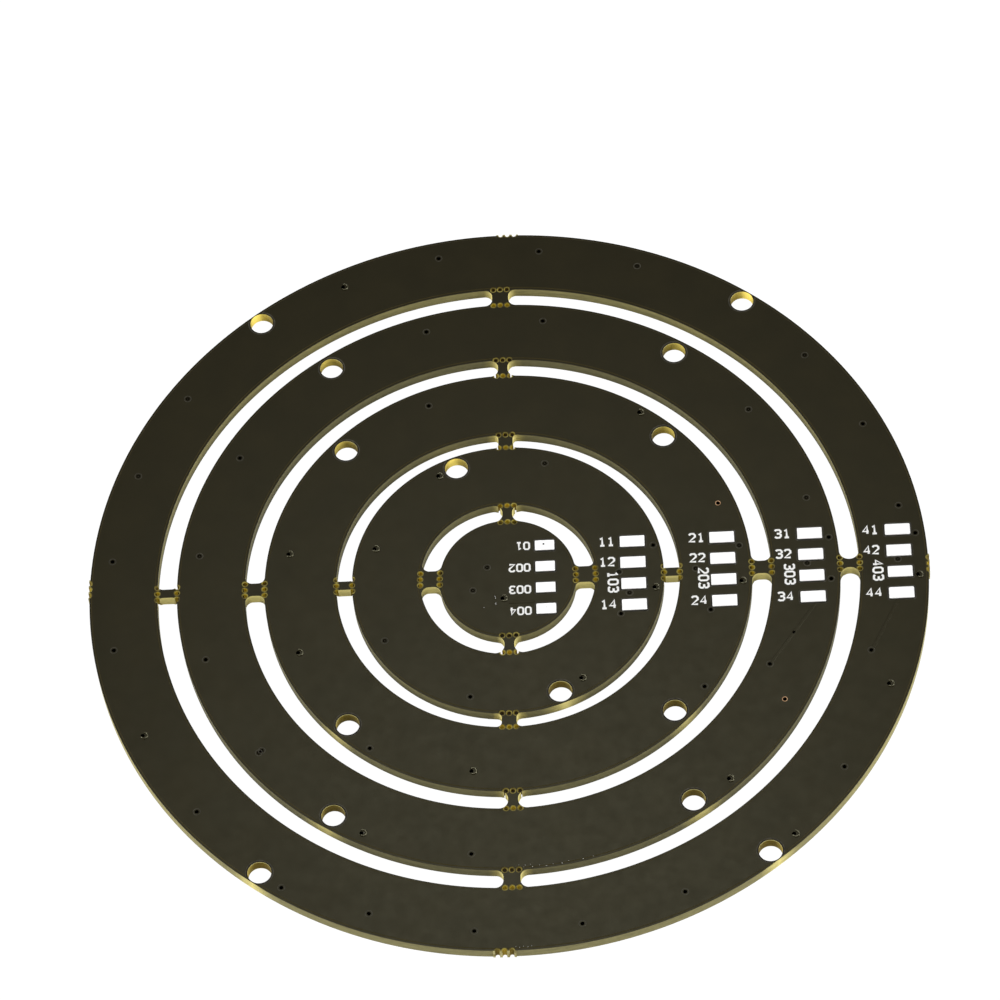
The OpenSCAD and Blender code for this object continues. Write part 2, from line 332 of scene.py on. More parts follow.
def blotchMaterial(name, low, middle, high, scale, roughness, bump=0.01, **sockets):
    # three tones in patches, with a fine uneven surface
    material, tree, shader = newMaterial(name, middle, roughness, **sockets)
    patch = noiseOf(tree, scale, detail=4)
    tree.links.new(ramp(tree, patch, (0.28, low), (0.5, middle), (0.74, high)), shader.inputs["Base Color"])
    spread(tree, shader, noiseOf(tree, scale * 2.5, detail=4), roughness - 0.06, roughness + 0.08)
    bumpFrom(tree, shader, patch, bump * mm, 0.6)
    return material


maskMaterial = solderMaskMaterial()
meniscusMaterial = solderMaskMaterial("thickSolderMask", 0.12, 1.0, 1.6)
# painted highlight: mask 3.6 times lighter, for the slope at a copper pour's edge
slopeHighlightMaterial = solderMaskMaterial("pourSlopeMaskPaintedHighlight", 0.4, 0.3, 3.6)
routedMaterial = laminateMaterial("routedLaminate", thick=(0.24, 0.218, 0.1), paintedGlow=(0.92, 0.8, 0.29),
                                  streak=0.74, lip=(0.06, 0.048, 0.022), glow=0.4)
drilledMaterial = laminateMaterial("drilledLaminate", thick=(0.21, 0.15, 0.003), paintedGlow=(1.0, 0.8, 0.17),
                                   streak=0.8, lip=(0.8, 0.74, 0.34), glow=0.7)
# darker than the routed wall: painted shade inside the small bite holes
bittenMaterial = laminateMaterial("bittenLaminate", thick=(0.07, 0.045, 0.002), paintedGlow=(0.6, 0.43, 0.025),
                                  streak=0.7, lip=(0.2, 0.16, 0.03), glow=0.14)
# three tones, the size of the patches, the roughness and the depth of the surface
snappedMaterial = blotchMaterial("snappedLaminate", (0.2, 0.16, 0.04), (0.42, 0.37, 0.14), (0.66, 0.6, 0.3),
                                 1800, 0.6, 0.05, Specular_IOR_Level=0.25)
bareMaterial = blotchMaterial("bareLaminate", (0.05, 0.036, 0.003), (0.2, 0.155, 0.018), (0.42, 0.36, 0.08),
                              1500, 0.5, 0.02, Specular_IOR_Level=0.3)
# dark laminate where the mask stops round pads and holes
darkFloorMaterial = blotchMaterial("darkLaminate", (0.006, 0.0045, 0.001), (0.014, 0.01, 0.002),
                                 (0.035, 0.028, 0.007), 1500, 0.5, Specular_IOR_Level=0.2)
# painted shade: near black and without sheen, for the via holes, the rings round the plugs and the pinholes
holeShadeMaterial = blotchMaterial("viaBarrelPaintedShade", (0.001, 0.001, 0.001), (0.003, 0.0025, 0.002),
                                (0.01, 0.007, 0.004), 3000, 0.7, Specular_IOR_Level=0.0)
# painted highlight: mask about five times lighter, on the via rings and the sloping sides of the mask
# openings
ridgeHighlightMaterial = blotchMaterial("ridgeMaskPaintedHighlight", (0.02, 0.018, 0.012), (0.045, 0.041, 0.028),
                                  (0.08, 0.074, 0.055), 2500, 0.35, 0.004, Specular_IOR_Level=0.3)
copperMaterial = blotchMaterial("bareCopper", (0.28, 0.15, 0.07), (0.44, 0.25, 0.12), (0.6, 0.38, 0.2),
                                2500, 0.4, Metallic=0.3)
# the tin's own pale colour pushed to near white: partly painted highlight
tinnedHighlightMaterial = blotchMaterial("tinnedCopperPaintedHighlight", (0.97, 0.97, 0.96), (0.99, 0.99, 0.98), (1.0, 1.0, 1.0),
                                700, 0.38, 0.006, Metallic=0.4)
solderMaterial = blotchMaterial("solder", (0.62, 0.62, 0.6), (0.74, 0.74, 0.72), (0.84, 0.84, 0.82),
                                900, 0.32, 0.02, Metallic=0.9)
inkMaterial = blotchMaterial("printedLegend", (0.9, 0.9, 0.88), (0.97, 0.97, 0.95), (1.0, 1.0, 0.98),
                             2400, 0.6, 0.006, Specular_IOR_Level=0.3)
housingMaterial = blotchMaterial("mouldedHousing", (0.78, 0.78, 0.74), (0.84, 0.84, 0.81),
                                 (0.88, 0.88, 0.85), 600, 0.5, 0.006)
frameMaterial = blotchMaterial("platedLeadFrame", (0.62, 0.6, 0.55), (0.76, 0.74, 0.69), (0.86, 0.84, 0.8),
                               1200, 0.3, 0.008, Metallic=0.95)
wireMaterial = blotchMaterial("goldWire", (0.8, 0.52, 0.16), (0.9, 0.63, 0.24), (1.0, 0.75, 0.36),
                              3000, 0.25, 0.002, Metallic=1.0)
siliconMaterial = blotchMaterial("driverSilicon", (0.035, 0.033, 0.045), (0.06, 0.055, 0.075),
                                 (0.12, 0.11, 0.13), 6000, 0.22, 0.001)
chipMaterial = blotchMaterial("emitterChip", (0.5, 0.38, 0.12), (0.72, 0.58, 0.24), (0.9, 0.8, 0.45),
                              7000, 0.25, 0.001)
ceramicMaterial = blotchMaterial("firedCeramic", (0.2, 0.13, 0.08), (0.29, 0.2, 0.125), (0.36, 0.26, 0.17),
                                 2200, 0.55, 0.008)


def fillingMaterial():
    material, tree, shader = newMaterial("clearFilling", (0.96, 0.95, 0.88), 0.06, Transmission_Weight=1.0,
                                         IOR=1.41)
    swirl = noiseOf(tree, 500, detail=2)
    tint = ramp(tree, swirl, (0.3, (0.93, 0.92, 0.83)), (0.7, (0.97, 0.97, 0.92)))
    tree.links.new(tint, shader.inputs["Base Color"])
    bumpFrom(tree, shader, swirl, 0.01 * mm, 0.4)
    return material


fillingLook = fillingMaterial()
print("materials made")


outline = {
    "edges": [(0, 7), (9, 16), (17.6, 25), (27, 34), (36, 43)],   # inner and outer radius of each part
    "paler": [(0, 0.12), (0.05, 0.08), (0.04, 0.05), (0, 0), (0.24, 0.1)],   # painted light: how much paler each part's inner and outer wall is drawn
    "sides": 240,
    "pourMargin": 0.26,   # the copper pour stays back from a routed edge
    "pourSlope": 0.07,
    "pourStep": 0.035,    # the mask lies lower where there is no copper
    "cut": 0.5,
    "tabAngles": [90, 0, -90, 180],
    "narrowTab": 1.0,
    "wideTab": [0, 1.9, 1.5, 1.5, 1.7],
    "tabShift": [[], [0.1, -0.1, 0, 0.3], [0.1, 0.1, 0.2, 0], [0, 0, 0, 0], [-0.1, 0, 0.3, 0]],
    "corners": [[], [0.9, 0.6, 0.9, 0.75], [0.45, 0.3, 0.55, 0.35], [0.85, 0.75, 0.9, 0.7],
                [0.8, 0.97, 0.8, 0.55]],
    "cornerSteps": 7,
    "stubWidth": 2.3,
    "stubHeight": 0.12,
    "stubRoot": 0.1,      # how far a stub reaches into the rim
    "stubShift": [0.8, 0.45, 1.2, 0.9],
    "smooth": 24,
}
gaps = [1, 2, 3, 4]
bites = {"diameter": 0.46, "pitch": 0.71, "count": 3, "sides": 18,
         "openingDiameter": 0.69, "openingDepth": 0.05,
         "inward": 0.15}   # the rows before and behind the disc lie nearer the middle
holes = {
    "diameter": 2.4,
    "sides": 48,
    "maskEdge": 0.14,    # the mask stops short of the hole and slopes up
    "maskSlope": 0.18,
    "centres": [(1, 14.6, 110.25), (1, 14.6, -69.75)]
    + [(2, 23.35, angle) for angle in (45, 135, -45, -135)]
    + [(3, 32.4, angle) for angle in (56.25, 123.75, -56.25, -123.75)]
    + [(4, 41.7, angle) for angle in (52.5, 127.5, -52.5, -127.5)],
}
pads = {
    "rows": [3.81, 1.27, -1.27, -3.81],
    "shift": (0.06, -0.04),
    "clearance": 0.1,
    "clearanceCorner": 0.2,
    "corner": 0.16,
    "body": 0.6,                             # share of the height below the soft edge
    "steps": [(0.02, 0.2), (0.035, 0.08)],   # how far in, and what share of the height up
    "wear": (0.03, 0.05),                    # by what share a pad may be shorter and narrower
    "pinholes": [((3.76, 3.88), 0.11), ((3.85, -3.72), 0.05)],
    "smooth": 5,
}
leds = {"steps": [360, 45, 30, 22.5, 15], "radii": [0, 12.5, 21.3, 30.5, 39.5]}


def atSteps(ring, radius, first, counts):
    # radius and angle of the vias that keep to the LED step of their ring
    return [(radius, first + leds["steps"][ring] * count) for count in counts]


vias = {
    "diameter": 0.42,
    "sides": 12,
    "open": [(11.45, -4.85), (15.0, 3.2), (20.6, -4.85), (33.0, 3.2), (33.0, -1.8), (41.85, 3.25),
             (19.6, -13.9), (-14.3, -19.4), (26.3, -11.6), (36.6, -10.5), (-23.2, -34.9)],
    "openPolar": [(14.5, 253.6), (23.0, 109.9), (32.0, 82.2), (32.0, 104.4), (32.0, 149.6), (32.0, 194.7),
                  (32.3, 262.4), (40.9, 9.4), (40.9, 24.4)]
    + atSteps(4, 40.9, 9.2, (5, 6, 11, 12, 14, 16, 17, 18, 19, 21)),
    # filled with mask, so only a ring shows
    "plugged": [(-2.1, 1.4), (-3.6, -1.3), (11.4, 0.15), (12.4, -2.4), (23.8, 2.7), (19.25, 0.15),
                (30.65, 0.2), (39.9, 0.2), (-25.2, -19.1)],
    "pluggedPolar": [(14.4, 73.4), (14.4, 208.3)] + atSteps(3, 32.0, 14.7, (0, 1, 7, 9))
    + atSteps(4, 40.85, 9.2, (2, 4, 9, 10)),
    # the mask has run to one side and stands up in a thick glossy crescent
    "crescent": [(-0.6, -2.4), (14.95, -1.85), (23.85, -1.55), (41.85, -1.75), (14.1, 19.6), (21.6, -24.7),
                 (27.8, -31.3), (-15.2, -29.1), (-4.1, -22.55), (38.15, -14.5)],
    "crescentPolar": [(14.6, 118.5), (14.3, 162.6), (14.2, 300.4), (22.9, 169.7), (22.9, 199.9)]
    + atSteps(4, 40.85, 9.2, (7, 13)),
    "copper": [(21.84, 7.95), (27.61, -15.8)],
    # radius and height of the loops of each low ring
    "ring": [(0.4, -0.01), (0.375, 0.012), (0.345, 0.012), (0.32, -0.01)],
    # the plug's ring is painted black, as shade
    "plug": [(0.22, -0.01), (0.205, 0.006), (0.08, 0.006), (0.07, -0.01)],
    "bare": [(0.295, -0.01), (0.28, 0.03), (0.235, 0.03), (0.208, -0.01)],
    "ringSides": 18,
}


def viaPlaces(kind):
    return [Vector((x, y, 0)) for x, y in vias[kind]] + \
        [polar(radius, angle) for radius, angle in vias.get(kind + "Polar", [])]


def tabWidth(gap, side):
    return outline["wideTab"][gap] if (gap + side) % 2 == 0 else outline["narrowTab"]


def gapEdges(gap):
    return outline["edges"][gap - 1][1], outline["edges"][gap][0]


def faceLoops(height, step):
    # radius and height of each loop of a face, from the middle out; the mask dips by step off the copper
    loops = []
    for inner, outer in outline["edges"]:
        low, slope, margin = height - step, outline["pourSlope"], outline["pourMargin"]
        if inner:
            loops += [(inner + margin - slope, low), (inner + margin, height)]
        loops += [(outer - margin, height), (outer - margin + slope, low)]
    return loops


def laminateBlank():
    # a round blank with the steps of the copper pours in its upper face
    rim = outline["edges"][-1][1]
    below = [(outer - 1.2 * outline["pourMargin"], boardBottom) for _, outer in outline["edges"]][::-1]
    top = faceLoops(boardTop, outline["pourStep"])
    loops = top + [(rim, boardTop - outline["pourStep"]), (rim, boardBottom)] + below
    radius, height = loops[0]
    bpy.ops.mesh.primitive_circle_add(vertices=outline["sides"], radius=radius, fill_type="NGON",
                                      location=(0, 0, height))
    blank = bpy.context.object
    applyPlace(blank)
    startEdit(blank, "EDGE")
    for nextRadius, nextHeight in loops[1:]:
        bpy.ops.mesh.extrude_edges_move(TRANSFORM_OT_translate={"value": (0, 0, nextHeight - height)})
        grow = nextRadius / radius
        bpy.ops.transform.resize(value=(grow, grow, 1), center_override=(0, 0, nextHeight))
        radius, height = nextRadius, nextHeight
    bpy.ops.mesh.edge_face_add()
    closeEdit()
    paint(blank, maskMaterial, slopeHighlightMaterial)
    return blank


def ringSector(inner, outer, low, high, startAngle, sweep, steps):
    # a rectangle spun about the axis into a solid arc
    middle = polar((inner + outer) / 2, startAngle, (low + high) / 2)
    bpy.ops.mesh.primitive_plane_add(size=1, location=middle,
                                     rotation=(math.pi / 2, 0, math.radians(startAngle)))
    sector = bpy.context.object
    sector.scale = (outer - inner, high - low, 1)
    applyPlace(sector)
    startEdit(sector)
    bpy.ops.mesh.spin(steps=steps, angle=math.radians(sweep), center=(0, 0, 0), axis=(0, 0, -1))
    closeEdit(merge=0.001)
    return sector


def slotEnd(gap, side, way):
    # the two rounded corners beside a tab: their centres, their radius and the direction from the tab
    inner, outer = gapEdges(gap)
    radius = outline["corners"][gap][side]
    along = polar(1, outline["tabAngles"][side])
    away = polar(1, outline["tabAngles"][side] - 90) * way
    offset = outline["tabShift"][gap][side] * way + tabWidth(gap, side) / 2 + radius
    near = away * offset + along * math.sqrt((inner + radius) ** 2 - offset ** 2)
    far = away * offset + along * math.sqrt((outer - radius) ** 2 - offset ** 2)
    return near, far, radius, away


def roundCorner(centre, radius, first, last):
    steps = outline["cornerSteps"]
    return [centre + (first.lerp(last, step / steps)).normalized() * radius for step in range(steps + 1)]


def arc(radius, first, last):
    # between two corners, leaving out its ends
    start, end = (math.degrees(math.atan2(spot.y, spot.x)) for spot in (first, last))
    if radius > 0 and end - start > 180:
        end -= 360
    if start - end > 180:
        end += 360
    steps = outline["sides"] // 4
    return [polar(radius, start + (end - start) * step / steps) for step in range(1, steps)]


def slotOutline(gap, side):
    # from one tab to the next, with rounded corners
    inner, outer = gapEdges(gap)
    near, far, radius, away = slotEnd(gap, side, 1)
    nextNear, nextFar, nextRadius, nextAway = slotEnd(gap, (side + 1) % 4, -1)
    points = roundCorner(far, radius, far.normalized(), -away)
    points += roundCorner(near, radius, -away, -near.normalized())
    points += arc(inner, near, nextNear)
    points += roundCorner(nextNear, nextRadius, -nextNear.normalized(), -nextAway)
    points += roundCorner(nextFar, nextRadius, -nextAway, nextFar.normalized())
    return points + arc(outer, nextFar, far)


def slotCutters():
    shape = bpy.data.curves.new("slots", "CURVE")
    shape.dimensions = "2D"
    shape.fill_mode = "BOTH"
    shape.extrude = (boardTop - boardBottom) / 2 + outline["cut"]
    for gap in gaps:
        for side in range(4):
            points = slotOutline(gap, side)
            spline = shape.splines.new("POLY")
            spline.points.add(len(points) - 1)
            spline.use_cyclic_u = True
            for point, spot in zip(spline.points, points):
                point.co = (spot.x, spot.y, 0, 1)
    slots = meshFromCurve("slots", shape)
    slots.data.transform(moved(0, 0, (boardBottom + boardTop) / 2))
    startEdit(slots)
    closeEdit(merge=0.002)
    paint(slots, routedMaterial)
    return slots


def drills(spots, diameter, sides, material, low=None, high=None):
    # one bit, set down at each spot
    low = boardBottom - outline["cut"] if low is None else low
    high = boardTop + outline["cut"] if high is None else high
    bpy.ops.mesh.primitive_cylinder_add(vertices=sides, radius=diameter / 2, depth=high - low,
                                        location=(0, 0, (low + high) / 2))
    bit = bpy.context.object
    bit.rotation_euler.z = math.radians(7)   # no corner of the bit lies in line with a tab
    applyPlace(bit)
    paint(bit, material)
    return copiesOf(bit, [moved(spot.x, spot.y) for spot in spots])


def biteSpots():
    rows = []
    for side, angle in enumerate(outline["tabAngles"]):
        for gap in gaps:
            inward = bites["inward"] if gap == 1 and side % 2 == 0 else 0
            rows += [(angle, radius - inward, outline["tabShift"][gap][side]) for radius in gapEdges(gap)]
        rows.append((angle, outline["edges"][4][1] + outline["stubHeight"] / 2, outline["stubShift"][side]))
    for angle, radius, shift in rows:
        for i in range(bites["count"]):
            aside = shift + (i - (bites["count"] - 1) / 2) * bites["pitch"]
            yield polar(radius, angle - math.degrees(math.asin(aside / radius)))


def padSize(part):
    # where the middle of a row's pads is along X, and their length, width and height
    low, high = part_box("solder_pads_" + part)
    width = 2 * (high.y / mm - pads["rows"][0])
    return (low.x + high.x) / 2 / mm, (high.x - low.x) / mm, width, (high.z - low.z) / mm


def dressRecess(recess):
    # the floor is dark laminate, and the sloping side is mask painted lighter as a highlight
    paint(recess, darkFloorMaterial, ridgeHighlightMaterial)
    for face in recess.data.polygons:
        face.material_index = 0 if abs(face.normal.z) > 0.95 else 1


def padClearances(part):
    # a shallow step with sloping sides round each pad, where the mask stops
    middle, length, width, _ = padSize(part)
    x, y, step = length / 2 + pads["clearance"], width / 2 + pads["clearance"], outline["pourStep"]
    recess = addBlock((-x, -y, boardTop - step), (x, y, boardTop + step))
    startEdit(recess)
    pick(recess, "FACE", lambda face: face.normal.z > 0.9)
    bpy.ops.transform.resize(value=(1 + 2 * outline["pourSlope"] / x, 1 + 2 * outline["pourSlope"] / y, 1))
    pick(recess, "EDGE", lambda edge: abs(edge.verts[0].co.z - edge.verts[1].co.z) > step)
    bpy.ops.mesh.bevel(offset=pads["clearanceCorner"], segments=3, affect="EDGES")
    endEdit()
    dressRecess(recess)
    shiftX, shiftY = pads["shift"]
    return copiesOf(recess, [moved(middle + shiftX, row + shiftY) for row in pads["rows"]])


def holeClearances(centres):
    low, step = holes["diameter"] / 2 + holes["maskEdge"], outline["pourStep"]
    bpy.ops.mesh.primitive_cone_add(vertices=holes["sides"], radius1=low, radius2=low + holes["maskSlope"],
                                    depth=2 * step, location=(0, 0, boardTop),
                                    rotation=(0, 0, math.radians(3)))
    dish = bpy.context.object
    applyPlace(dish)
    dressRecess(dish)
    return copiesOf(dish, [Matrix.Translation(centre) for centre in centres])


# how far the painted glow and paler colour reach on the walls
wallLight = {
    "holeReach": 3.6, "holeFade": 1.8,   # round a mounting hole
    "rimShare": 0.9,                     # on the rim beside a hole
    "tabPeaks": (0.93, 0.84),            # tabs along Y and tabs along X
    "tabFade": 1.3,
    "stubPeak": 0.12, "stubFade": 1.5,
    "sideBase": 0.07, "sideGrowth": 0.8, "sideStart": 0.6,   # painted light: the rim is drawn paler towards the sides
}


def thinness(spot):
    # how much a wall is painted paler and glowing: 1 where it is so thin that light would come through, 0
    # where it is thick; the rim's sides and some whole walls are painted paler too
    flat = Vector((spot.x, spot.y, 0))
    rim = outline["edges"][4][1]
    best = 0.0
    for ring, centreRadius, angle in holes["centres"]:
        away = (flat - polar(centreRadius, angle)).length
        beyond = outline["edges"][ring][1] - flat.length   # how far inside the rim
        if away < wallLight["holeReach"] and beyond > -0.1:
            share = wallLight["rimShare"] if ring == 4 and beyond < 0.05 else 1.0
            wall = abs(away - holes["diameter"] / 2) + beyond
            best = max(best, share * (1 - wall / wallLight["holeFade"]))
    for side, angle in enumerate(outline["tabAngles"]):
        along, across = flat.dot(polar(1, angle)), flat.dot(polar(1, angle - 90))
        for gap in gaps:
            inner, outer = gapEdges(gap)
            if inner - 0.1 < along < outer + 0.12:
                aside = abs(across - outline["tabShift"][gap][side])
                peak = wallLight["tabPeaks"][side % 2]
                best = max(best, peak - (aside - tabWidth(gap, side) / 2) / wallLight["tabFade"])
        if along > rim - 0.3:
            aside = abs(across - outline["stubShift"][side])
            fade = (aside - outline["stubWidth"] / 2) / wallLight["stubFade"]
            best = max(best, wallLight["stubPeak"] - fade)
    for edges, light in zip(outline["edges"], outline["paler"]):
        for radius, level in zip(edges, light):
            if abs(flat.length - radius) < 0.1:
                best = max(best, level)
    if flat.length > rim - 0.1:
        sideways = abs(flat.x) / flat.length - wallLight["sideStart"]
        best = max(best, wallLight["sideBase"] + wallLight["sideGrowth"] * sideways)
    return min(max(best, 0), 1)


def makeLaminate():
    laminate = laminateBlank()
    rim = outline["edges"][4][1]
    stubs = []
    for side, angle in enumerate(outline["tabAngles"]):
        half = math.degrees(math.asin(outline["stubWidth"] / 2 / rim))
        start = angle - math.degrees(math.asin(outline["stubShift"][side] / rim)) - half
        stubs.append(ringSector(rim - outline["stubRoot"], rim + outline["stubHeight"],
                                boardBottom + outline["pourStep"], boardTop - 2 * outline["pourStep"],
                                start, 2 * half, 6))
        paint(stubs[-1], snappedMaterial)
    combine(laminate, joined(stubs), "UNION")
    combine(laminate, slotCutters())
    print("slots routed")
    spots, depth = list(biteSpots()), bites["openingDepth"]
    centres = [polar(radius, angle) for _, radius, angle in holes["centres"]]
    cutters = drills(spots, bites["openingDiameter"], bites["sides"], bareMaterial, low=boardTop - depth)
    cutters += drills(spots, bites["openingDiameter"], bites["sides"], bareMaterial, high=boardBottom + depth)
    cutters += holeClearances(centres)
    cutters += [recess for part in parts for recess in padClearances(part)]
    combine(laminate, joined(cutters))
    print("mask openings cut")
    cutters = drills(spots, bites["diameter"], bites["sides"], bittenMaterial)
    cutters += drills(centres, holes["diameter"], holes["sides"], drilledMaterial)
    for kind in ("open", "crescent", "copper"):
        cutters += drills(viaPlaces(kind), vias["diameter"], vias["sides"], holeShadeMaterial)
    combine(laminate, joined(cutters))
    print("holes drilled")
    names = [material.name for material in laminate.data.materials]
    for face in laminate.data.polygons:
        name, level = names[face.material_index], abs(face.normal.z)
        onRim = face.area > 0.01 and face.center.xy.length > rim - 0.05
        if name == "solderMask" and level < 0.5 and onRim:
            face.material_index = names.index("routedLaminate")
        elif name == "routedLaminate" and level > 0.9:
            face.material_index = names.index("solderMask")
        elif name == "solderMask" and 0.6 < level < 0.97:   # the slope at the edge of a copper pour
            face.material_index = names.index("pourSlopeMaskPaintedHighlight")
    paintedGlow = laminate.data.attributes.new("thinness", "FLOAT", "POINT")
    paintedGlow.data.foreach_set("value", [thinness(point.co) for point in laminate.data.vertices])
    finishPiece(laminate, "laminate", "board", outline["smooth"])
    startEdit(laminate)
    pick(laminate, "FACE", lambda face: abs(face.normal.z) > 0.5)
    bpy.ops.mesh.faces_shade_flat()
    endEdit()


makeLaminate()


def ringOn(profile, sides):
    # a low ring on the mask: radius and height of each loop, from the outside in
    radius, height = profile[0]
    bpy.ops.mesh.primitive_circle_add(vertices=sides, radius=radius, fill_type="NOTHING",
                                      location=(0, 0, boardTop + height))
    rim = bpy.context.object
    applyPlace(rim)
    startEdit(rim, "EDGE")
    for nextRadius, nextHeight in profile[1:]:
        bpy.ops.mesh.extrude_edges_move(TRANSFORM_OT_translate={"value": (0, 0, nextHeight - height)})
        grow = nextRadius / radius
        bpy.ops.transform.resize(value=(grow, grow, 1), center_override=(0, 0, 0))
        radius, height = nextRadius, nextHeight
    bpy.ops.mesh.select_all(action="DESELECT")
    bpy.ops.mesh.select_non_manifold()
    bpy.ops.mesh.bridge_edge_loops()
    closeEdit()
    return rim


def makeViaRims():
    # a faint ring over each via in mask painted lighter as a highlight, a black one round each plug as
    # painted shade, and two rings of bare copper
    looks = {"ring": (ridgeHighlightMaterial, viaPlaces("open") + viaPlaces("plugged")),
             "plug": (holeShadeMaterial, viaPlaces("plugged")),
             "bare": (copperMaterial, viaPlaces("copper"))}
    for kind, (material, spots) in looks.items():
        rim = ringOn(vias[kind], vias["ringSides"])
        paint(rim, material)
        rims = joined(copiesOf(rim, [Matrix.Translation(spot) for spot in spots]))
        finishPiece(rims, "via_" + kind + "s", smooth=50)


crescents = {"thickness": 0.085, "radius": 0.34, "rise": 0.03, "sweep": 250, "aside": 0.17,
             "turns": (-150, -115)}


def makeCrescents():
    # a bead of mask bent round the far side of each of these vias
    random.seed(5)
    bpy.ops.mesh.primitive_circle_add(vertices=10, radius=crescents["thickness"], fill_type="NGON",
                                      location=(crescents["radius"], 0, crescents["rise"]),
                                      rotation=(math.pi / 2, 0, 0))
    bead = bpy.context.object
    applyPlace(bead)
    startEdit(bead)
    bpy.ops.mesh.spin(steps=16, angle=math.radians(crescents["sweep"]), center=(0, 0, 0), axis=(0, 0, -1))
    closeEdit()
    paint(bead, meniscusMaterial)
    places = [moved(spot.x + crescents["aside"], spot.y, boardTop)
              @ turned(random.uniform(*crescents["turns"])) for spot in viaPlaces("crescent")]
    finishPiece(joined(copiesOf(bead, places)), "mask_crescents", smooth=60)


solderSpecks = {
    # radius, angle and size: along two edges that face the front, and two specks left of them
    "polar": [(33.75, -88.5, 0.03), (33.8, -87, 0.045), (33.7, -85.8, 0.03), (33.85, -84.6, 0.04),
              (33.75, -83.5, 0.03), (33.8, -82, 0.05), (33.7, -80.8, 0.03), (42.6, -90.1, 0.03),
              (42.72, -89.6, 0.04), (42.6, -89.1, 0.03), (42.7, -88.5, 0.035), (42.6, -88, 0.03),
              (33.5, -89.3, 0.03), (33.55, -88.2, 0.04), (33.5, -87.3, 0.03), (33.8, -78.4, 0.04),
              (33.75, -76.6, 0.03), (32.4, 242.4, 0.05), (32.7, 242.8, 0.04)],
    # place and size, on the disc
    "flat": [(-1.36, -2.1, 0.05), (-1.3, -2.32, 0.04), (-1.3, -2.95, 0.055), (-1.27, -3.12, 0.04),
             (-2.5, -3.4, 0.04)],
    "flatten": 0.6,
    "lift": 0.1,   # share of the size by which a speck's middle stands above the mask
}


def makeSpecks():
    specks = [polar(radius, angle, size) for radius, angle, size in solderSpecks["polar"]]
    specks += [Vector(speck) for speck in solderSpecks["flat"]]
    made = []
    for speck in specks:
        bpy.ops.mesh.primitive_uv_sphere_add(segments=8, ring_count=5, radius=speck.z,
                                             location=(speck.x, speck.y, 0))
        drop = bpy.context.object
        drop.scale.z = solderSpecks["flatten"]
        applyPlace(drop)
        drop.data.transform(moved(0, 0, boardTop + solderSpecks["lift"] * speck.z))
        paint(drop, solderMaterial)
        made.append(drop)
    finishPiece(joined(made), "solder_specks", smooth=60)


makeViaRims()
makeCrescents()
makeSpecks()


traces = {   # under the mask
    "width": 0.36,
    "height": 0.03,
    "slope": 0.05,
    # from a via to the edge of its pad
    "runs": [[(26.6, -11.2), (28.9, -8.0), (31.2, -4.75)], [(36.9, -10.05), (39.6, -4.75)],
             [(0.2, -2.9), (2.5, -2.95)]],
}


def makeTraces():
    made = []
    for run in traces["runs"]:
        for start, end in zip(run, run[1:]):
            along = Vector((*end, 0)) - Vector((*start, 0))
            half = traces["width"] / 2
            strip = addBlock((-half, -half, -0.01), (along.length + half, half, traces["height"]))
            startEdit(strip)
            pick(strip, "FACE", lambda face: face.normal.z > 0.9)
            squeeze = 1 - traces["slope"] / half
            bpy.ops.transform.resize(value=(1 - traces["slope"] / along.length, squeeze, 1))
            endEdit()
            angle = math.degrees(math.atan2(along.y, along.x))
            strip.data.transform(moved(*start, boardTop) @ turned(angle))
            paint(strip, maskMaterial)
            made.append(strip)
    finishPiece(joined(made), "trace_relief", smooth=20)


makeTraces()


def pinhole(spot, radius, height):
    # a pinhole in the solder, drawn as a black disc a hair proud of the crown: painted shade of the hole
    bpy.ops.mesh.primitive_uv_sphere_add(segments=12, ring_count=6, radius=radius, location=(*spot, 0))
    hole = bpy.context.object
    hole.scale.z = 0.1
    applyPlace(hole)
    hole.data.transform(moved(0, 0, boardTop + 0.97 * height))
    paint(hole, holeShadeMaterial)
    return hole


def makePads(part):
    # a cushion of solder with rounded corners, a soft edge and a low crown
    middle, length, width, height = padSize(part)
    random.seed(11 + parts.index(part))
    cushions = []
    for row in pads["rows"]:
        pad = addBlock((-length / 2, -width / 2, 0), (length / 2, width / 2, height * pads["body"]))
        startEdit(pad)
        pick(pad, "EDGE", upright)
        bpy.ops.mesh.bevel(offset=pads["corner"] * random.uniform(0.5, 1), segments=6, affect="EDGES")
        for inset, rise in pads["steps"]:
            pick(pad, "FACE", lambda face: face.normal.z > 0.99)
            bpy.ops.mesh.inset(thickness=inset, depth=rise * height)
        endEdit()
        shorter, narrower = (1 - random.uniform(0, wear) for wear in pads["wear"])
        shrink = Matrix.Diagonal((shorter, narrower, 1, 1))
        pad.data.transform(moved(middle + pads["shift"][0], row + pads["shift"][1], boardTop) @ shrink)
        paint(pad, tinnedHighlightMaterial)
        cushions.append(pad)
    if part == "disc":
        cushions += [pinhole(spot, radius, height) for spot, radius in pads["pinholes"]]
    finishPiece(joined(cushions), "tinned_pads_" + part, "solder_pads_" + part, pads["smooth"])


for part in parts:
    makePads(part)


